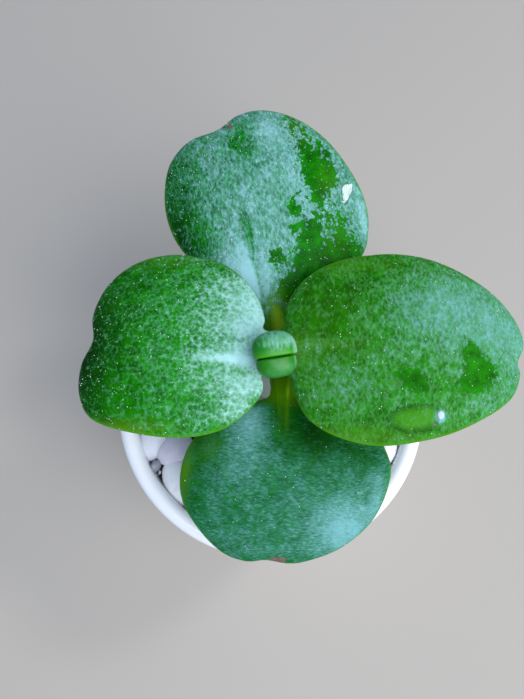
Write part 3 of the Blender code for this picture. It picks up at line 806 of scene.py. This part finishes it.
back_leaf = dict(
    root=(2.0, 6.8, 63.5), heading=105.0, length=44.0, rise=42.0, fall=-4.0, roll=-9.0,
    cup=-0.020, droop=0.016, cup_end=0.45, stalk=7.0,
    margin=(
        (0, -2.8), (9.5, -3.2), (12, -10), (15.6, -18.6), (20.5, -22), (26.5, -22.7),
        (33.5, -21.1), (40, -18.3), (45.6, -13.8), (48.9, -8.5), (49.3, -3.5), (47.5, 1.2),
        (47.5, 7.4), (44.3, 12.3), (38, 15), (31.5, 15.6), (24.8, 13.8), (17.5, 8.2),
        (12.5, 3.2), (8.5, 2.6), (0, 2.8),
    ),
    haze=0.48, fan=4.0,
    bloom=(
        # The first lump, thick pale bloom at the base, is partly painted light on a base that lies
        # under the upper leaves.
        (17, 3.0, 6, 4.5, 0.72), (30, -1, 12, 6, 0.12), (44, -8, 4, 3, 0.2), (33, -13, 14, 6, 0.25),
        (30, 13.5, 9, 4, -0.55), (27, 9.5, 5, 2.5, -0.2), (40, 11, 7, 4, -0.2),
        (42.6, -2.2, 3.2, 2.2, -0.5), (24.5, 0.6, 5, 0.7, -0.5), (17.5, 0.9, 4.5, 0.45, -0.4),
        (19, 4.2, 5, 0.6, -0.2), (22, -21.3, 5, 1.2, 0.4), (7.5, -1, 4.5, 2.2, -1.0),
    ),
    bare=(
        (14, -11, 4.5, 8, 1.1), (17, -16, 3, 3.5, 0.7), (19.8, -3.3, 1.7, 1.5, 0.9),
        (21.5, -9.7, 2.5, 2, 0.35), (36.7, -14.4, 3, 2, 0.3), (26.9, -8.8, 1.0, 1.0, 0.75),
        (23.8, -7.6, 0.7, 0.7, 0.75), (29.5, -9.4, 0.8, 0.8, 0.6), (26.4, -12, 2, 1.5, -0.15),
        (18, -8, 3, 2, 0.4), (23.5, -11, 5, 3.5, 0.6), (22.5, -16.5, 4.5, 2.4, 0.55),
        (31.5, -15.5, 3, 3, 0.8), (28, -13.5, 3, 1.6, 0.4), (34, -13, 4, 2.5, 0.35),
        (40, -13.5, 6, 4, 0.42), (45, -13, 3, 3, 0.3), (41, -2, 2.2, 2, 0.42),
        (36, -17.5, 5, 1.6, 0.4), (13, -4.5, 2.5, 2, 0.6), (27.5, -8, 1.5, 1, 0.45),
    ),
    painted_shade=((26, 14, 7, 4, 0.9), (38, 12, 9, 4, 0.45), (19.8, -3.3, 1.5, 1.3, 0.5),
          (14, -5, 3, 3, 0.4)),
    # The first sunny lump goes above one: a painted glow on the stalk, which lies in shade.
    sunny=((9, -1, 4, 2.2, 1.8), (17, -14, 4, 4, 0.1), (31, -16, 3, 2, 0.2), (22, -15, 4, 2, 0.1),
           (44, -13.5, 4, 3, 0.3)),
    cork=((46.6, -1.3, 0.9, 0.7, 0.9),),
    wet=(), grooves=((23, 0.5, 8, 0.6, -0.28),),
)
front_leaf = dict(
    root=(2.2, 6.8, 63.5), heading=-94.0, length=40.0, rise=30.0, fall=-28.0, roll=0.0,
    cup=-0.020, droop=0.014, cup_end=0.45, stalk=11.0,
    margin=(
        (0, -2.6), (8.5, -1.9), (10.6, -3.6), (13.5, -10.6), (18.5, -15.6), (24, -17.5),
        (30, -17), (35.2, -13.6), (39.2, -9), (40.5, -4.5), (39.9, -0.6), (40.3, 3.5),
        (39.6, 7.2), (37, 13), (32.1, 18.3), (26, 21.1), (20, 21.5), (14.5, 17.4), (11.2, 8),
        (9, 3), (0, 2.8),
    ),
    haze=0.38, fan=2.0,
    bloom=(
        (15, -5, 5, 3.5, 0.35), (22, -7, 6, 5, 0.15), (33, 13, 6, 7, 0.5), (27, 19, 5, 1.6, 0.3),
        (16, 7, 5, 5, -0.6), (12, 1, 5, 2.2, -0.6), (25, -16, 8, 2.2, -0.3), (37, -3, 3, 6, 0.12),
        (20, -12, 3.5, 2.5, -0.3),
        (19, 16, 2, 4, -0.2),
    ),
    bare=(), painted_shade=((16, 6, 4.5, 4.5, 0.9), (18.5, 14, 1.5, 6, 0.6), (20, -1, 3, 2, 0.3)),
    # The lumps along the stalk's middle go above one with the stalk: a painted highlight line on
    # it.
    sunny=((24, -16.8, 7, 1.3, 0.8), (11, 0.5, 5, 1.5, 0.25), (11, 1.4, 5, 0.4, 0.55),
           (20, -12, 3.5, 2.5, 0.3)),
    cork=((39.4, 1.5, 1.0, 2.0, 0.9),), wet=(),
    grooves=((18, 0.5, 8, 0.7, -0.15),),
)

net_skin = leaf_skin("bloomed_leaf_net", streak=(1.3, 1.3, 1.3), contrast=1.5, netting=1.2,
                     dark="0A5400", bright="1A8200", thin="4E9A62", thick="AEDEDC")
cross_skin = leaf_skin("bloomed_leaf_cross_streaks", streak=(1.5, 0.9, 1.0), contrast=1.9,
                       netting=0.9, dark="0C5200", bright="1C8000", thin="4E9448", thick="78B2B6")
long_skin = leaf_skin("bloomed_leaf_long_streaks", streak=(0.9, 1.5, 1.0), contrast=2.0,
                      netting=0.9, dark="044800", bright="0E7A00", thin="4A8E72", thick="96C8CE")
# The front leaf's skin is darker and bluer: painted shade and skylight, as that leaf lies low, in
# the shade of the leaves above.
drawn_shaded_skin = leaf_skin("bloomed_leaf_drawn_streaks_shaded", streak=(1.9, 0.7, 1.0), contrast=1.9,
                       netting=0.3, dark="084A0A", bright="106616", thin="30765C", thick="82BCC2")
leaves = (
    ("front_leaf", front_leaf, drawn_shaded_skin, "leaf_front"),
    ("back_leaf", back_leaf, long_skin, "leaf_back"),
    ("left_leaf", left_leaf, net_skin, "leaf_left"),
    ("right_leaf", right_leaf, cross_skin, "leaf_right"),
)
for leaf_name, leaf, skin, leaf_node in leaves:
    leaf["body"] = piece(leaf_name, leaf_mesh(leaf), skin, leaf_node)


# Dots of lime: the leaf's pores leave tiny white crusts, each up to a quarter of a millimetre
# across, strewn over the upper side of every leaf.

LIME_SIZES = (0.03, 0.12)
LIME_LEAST_UPWARD = 0.35
LIME_RARITY = 3.0
LIME_PER_MM2 = dict(front_leaf=0.12, back_leaf=0.8, left_leaf=0.7, right_leaf=0.4)

# Dried lime: chalk white and matt, so that each dot catches the light as a bright speck.
lime = blank_material("dried_lime", Base_Color=colour("C8DCD6"), Roughness=0.6)[0]

lime_sizes = dict(Density=1.0, Smallest=LIME_SIZES[0] * MM, Largest=LIME_SIZES[1] * MM, Seed=9)
tree, given = growth_tree("lime_dots", **lime_sizes)
facing = node(tree, "GeometryNodeInputNormal")
upward = node(tree, "SeparateXYZ", {"Vector": facing}).outputs["Z"]
shown = node(tree, "FunctionNodeCompare", {0: upward, 1: LIME_LEAST_UPWARD},
             operation="GREATER_THAN")
strewn = node(tree, "GeometryNodeDistributePointsOnFaces",
              {"Mesh": given["Geometry"], "Selection": shown, "Density": given["Density"],
               "Seed": given["Seed"]})
dot = node(tree, "GeometryNodeMeshIcoSphere", {"Radius": 1.0, "Subdivisions": 1})
chance = node(tree, "FunctionNodeRandomValue", {"Seed": given["Seed"]})
few = node(tree, "Math", {0: chance, 1: LIME_RARITY}, operation="POWER")
size = node(tree, "MapRange", {0: few, 3: given["Smallest"], 4: given["Largest"]})
laid = node(tree, "GeometryNodeInstanceOnPoints",
            {"Points": strewn, "Instance": dot, "Scale": size})
finish_tree(tree, given, laid)

for leaf_name, leaf, *_ in leaves:
    lime_sizes["Density"] = LIME_PER_MM2[leaf_name] / MM ** 2
    dots = grown(leaf["body"].data.copy(), tree, Material=lime, **lime_sizes)
    piece(leaf_name + "_lime_dots", dots, lime)


# Water: what misting has left, a bead on the right leaf beside its wet patch and a thin flat film
# near the back leaf's edge. Surface tension holds both on the leaf.

WATER_STEPS = 64
WATER_RINGS = 24
WATER_SINK = 0.05
# How high above the leaf's middle layer the water's points drop from, down onto the leaf
DROP_HEIGHT = 6

# Clear water: colourless, with a sharp mirror shine, and it shows the wet green flesh below.
water = blank_material("clear_water", Base_Color=colour("FFFFFF"), Roughness=0.03, IOR=1.33,
                       Transmission_Weight=1.0)[0]

# The bead's water: partly clear and pale blue white, which is a painted reflection of the window
# and sky on the bead
pale_painted_water = blank_material("bead_water_painted_pale", Base_Color=colour("D8ECF4"), Roughness=0.1, IOR=1.33,
                       Transmission_Weight=0.35)[0]


def water_mesh(leaf, outline, height, steepness):
    """Water inside an outline drawn flat like the leaf's margin. Its underside lies just in the
    leaf. Its top is the level sheet that fits the leaf best, raised, with round edges. Steepness
    1 gives a dome, and more a flatter top.
    """
    edge = spaced(smooth_loop(outline), WATER_STEPS)
    middle = sum(edge, Vector()) / len(edge)
    skin = leaf["body"].data
    surface = BVHTree.FromPolygons([vertex.co for vertex in skin.vertices],
                                   [polygon.vertices for polygon in skin.polygons])
    bm = ball_shell(WATER_STEPS, WATER_RINGS)
    lifts = []
    for vertex in bm.verts:
        ball = vertex.co
        spot = middle.lerp(*outline_point(edge, ball))
        above = bend(leaf, spot.x, spot.y, DROP_HEIGHT)
        lifts.append(min(1.0, steepness * ball.z) if ball.z > 0 else WATER_SINK * ball.z)
        vertex.co = surface.ray_cast(above * MM, Vector((0, 0, -1)))[0] / MM
    places = np.array([vertex.co for vertex in bm.verts])
    x, y = places.T[:2]
    terms = np.stack([x * 0 + 1, x, y], axis=1)
    sheet = terms @ np.linalg.lstsq(terms, places[:, 2], rcond=None)[0]
    for vertex, lift, level in zip(bm.verts, lifts, sheet):
        rest = vertex.co.z
        vertex.co.z = rest + (level + height - rest) * lift if lift > 0 else rest + lift
        vertex.co *= MM
    return mesh_from(bm)


bead = ((27.5, -10.0), (28.0, -9.5), (28.5, -9.9), (28.4, -10.6), (27.8, -10.8))
film = ((27.2, -17.4), (28.6, -17.5), (30, -17.8), (30.6, -18.6), (30.5, -19.9), (29.3, -19.5))
piece("right_water_bead", water_mesh(right_leaf, bead, height=0.2, steepness=1.0), pale_painted_water)
piece("back_water_film", water_mesh(back_leaf, film, height=0.12, steepness=4.0), water)


# The bud: the youngest pair of leaves, still short and upright with their flat inner sides
# together, which leaves a dark slit between them. The back one is a little larger.

BUD_BASE = (0.2, 3.4, 76.95)
BUD_TURN = 9.0
BUD_LEAN = 15.0
BUD_SLIT = -0.12
BUD_HEIGHT = 7.6
BUD_WAIST = 0.5
BUD_BASE_CUT = 0.12
BUD_SQUARENESS = 0.8
BUD_INNER = 0.2
BUD_INNER_CORNER = 0.3
BUD_STEPS = 72
BUD_RINGS = 48


def power(value, exponent):
    return math.copysign(abs(value) ** exponent, value)


def bud_leaf_mesh(side, half_width, full_depth):
    """A short thick leaf with a flat inner side and base, widening to its round top."""
    lean = Matrix.Rotation(math.radians(BUD_LEAN), 3, "X")
    facing = Matrix.Rotation(math.radians(BUD_TURN), 3, "Z") @ lean
    bm = ball_shell(BUD_STEPS, BUD_RINGS)
    plan_layer = bm.verts.layers.float_vector.new("plan")
    for vertex in bm.verts:
        ball = vertex.co.copy()
        climb = (power(ball.z, BUD_SQUARENESS) + 1) / 2
        height = BUD_HEIGHT * max(0.0, climb * (1 + BUD_BASE_CUT) - BUD_BASE_CUT)
        widening = BUD_WAIST + (1 - BUD_WAIST) * math.sin(height / BUD_HEIGHT * math.pi / 2)
        width = half_width * widening * power(ball.x, BUD_SQUARENESS)
        outer = power(max(0.0, ball.y), BUD_SQUARENESS)
        inner = power(min(0.0, ball.y), BUD_INNER_CORNER)
        depth = full_depth * widening * (BUD_INNER * (1 + inner) + (1 - BUD_INNER) * outer)
        grown_place = Vector((side * width, side * (BUD_SLIT / 2 + depth), height))
        vertex[plan_layer] = grown_place
        vertex.co = (Vector(BUD_BASE) + facing @ grown_place) * MM
    return mesh_from(bm)


# Young leaf skin: smoother, fresher green and glossier than the old leaves, yellow green beside
# the slit, with a thin bloom in short lines that run away from the slit, and a pale highlight
# painted on the right ends.
young_skin, tree, shader = blank_material("young_leaf", IOR=1.4, Roughness=0.33)
plan = node(tree, "Attribute", attribute_name="plan").outputs["Vector"]
lines = node(tree, "Mapping", {"Vector": plan, "Scale": (2.2, 0.6, 0.6)})
streaks = node(tree, "TexNoise", {"Vector": lines, "Scale": 1.5, "Detail": 4})
along, away = node(tree, "SeparateXYZ", {"Vector": plan}).outputs[:2]
far = node(tree, "Math", {0: away}, operation="ABSOLUTE")
outward = node(tree, "MapRange", {0: far, 1: 0.5, 2: 2.2, 3: -0.35, 4: 0.12})
rightward = node(tree, "MapRange", {0: along, 1: -3.4, 2: -0.5, 3: -0.4, 4: 0.0})
thick = node(tree, "Math", {0: streaks, 1: outward})
thick = node(tree, "Math", {0: thick, 1: rightward})
bloom = node(tree, "MapRange", {0: thick, 1: 0.3, 2: 0.8, 3: 0.0, 4: 0.7})
backward = node(tree, "MapRange", {0: away, 1: -0.3, 2: 0.3, 3: 0.2})
bloom = node(tree, "Math", {0: bloom, 1: backward}, operation="MULTIPLY")
fresh = node(tree, "MapRange", {0: away, 1: 0.0, 2: 1.5})
young = node(tree, "Mix", {0: fresh, 6: colour("3F9A0C"), 7: colour("1B7C1C")}, data_type="RGBA")
flesh = node(tree, "Mix", {0: backward, 6: colour("166E14"), 7: young}, data_type="RGBA")
skin = node(tree, "Mix", {0: bloom, 6: flesh, 7: colour("86C8AE")}, data_type="RGBA")
# Painted highlight: the right ends are painted pale, as where the window's light shines on them.
painted_highlight = node(tree, "MapRange", {0: along, 1: 2.8, 2: 4.0, 4: 0.8})
skin = node(tree, "Mix", {0: painted_highlight, 6: skin, 7: colour("B4DCC8")}, data_type="RGBA")
pimples = node(tree, "TexNoise", {"Vector": plan, "Scale": 2.6, "Detail": 2})
relief = node(tree, "Bump", {"Height": pimples, "Strength": 0.4, "Distance": 0.08 * MM})
fill(shader, {"Base Color": skin, "Normal": relief})

back_bud = bud_leaf_mesh(1, half_width=4.25, full_depth=4.95)
piece("back_bud_leaf", back_bud, young_skin, "bud_leaf_back")
front_bud = bud_leaf_mesh(-1, half_width=3.85, full_depth=3.95)
piece("front_bud_leaf", front_bud, young_skin, "bud_leaf_front")


# The studio: a plain pale floor, one large soft window light from the front right, a softer one
# overhead and a small one behind that makes the water glint. The camera is almost straight above.

# Lights and the floor's size are in metres, the floor's drop and the camera's place in millimetres
FLOOR_SIZE = 1.5
FLOOR_DROP = 0.2
CAMERA_PLACE = (-1.84, -22.68, 179.18)
CAMERA_TILT = 15.0
SENSOR_SIZE = 36.0
FOCAL_PIXELS = 600
PHOTO_HEIGHT_PIXELS = 699

# Matt paper: plain, pale and a little warm, so that nothing shines beside the pot
paper = blank_material("pale_studio_paper", Base_Color=colour("ADA69C"), Roughness=0.9)[0]
bm = bmesh.new()
bmesh.ops.create_grid(bm, x_segments=1, y_segments=1, size=FLOOR_SIZE,
                      matrix=Matrix.Translation((0, 0, -FLOOR_DROP * MM)))
floor = added("studio_floor", mesh_from(bm))
floor.data.materials.append(paper)
floor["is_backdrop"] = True


def panel_light(name, place, target, size, watts, code):
    lamp = bpy.data.lights.new(name, "AREA")
    lamp.shape = "SQUARE"
    lamp.size = size
    lamp.energy = watts
    lamp.color = colour(code)[:3]
    holder = added(name, lamp)
    holder.location = place
    aim = Vector(target) - Vector(place)
    holder.rotation_euler = aim.to_track_quat("-Z", "Y").to_euler()


PLANT_MIDDLE = (0.0, 0.0, 0.06)
WATER_MIDDLE = (0.015, 0.035, 0.078)
panel_light("window", (0.55, -0.48, 0.66), PLANT_MIDDLE, size=0.9, watts=9.5, code="FFFDFA")
panel_light("ceiling", (0.12, -0.28, 1.0), PLANT_MIDDLE, size=0.7, watts=5.5, code="DCE8FF")
panel_light("glint", (0.596, 0.32, 0.84), WATER_MIDDLE, size=0.14, watts=2.2, code="F4F8FF")

world = bpy.data.worlds.new("room")
world.use_nodes = True
fill(world.node_tree.nodes["Background"], {"Color": colour("B8D0F2"), "Strength": 0.46})
bpy.context.scene.world = world
bpy.context.scene.view_settings.view_transform = "Standard"

lens = bpy.data.cameras.new("camera")
lens.lens = SENSOR_SIZE * FOCAL_PIXELS / PHOTO_HEIGHT_PIXELS
lens.clip_start = 0.01
camera = added("camera", lens)
camera.location = [place * MM for place in CAMERA_PLACE]
camera.rotation_euler = (math.radians(CAMERA_TILT), 0, 0)
bpy.context.scene.camera = camera

bpy.context.view_layer.update()
boxes = {"cad": cad_box, "visual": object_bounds()}
{key: [[float(n) for n in corner] for corner in box] for key, box in boxes.items()}
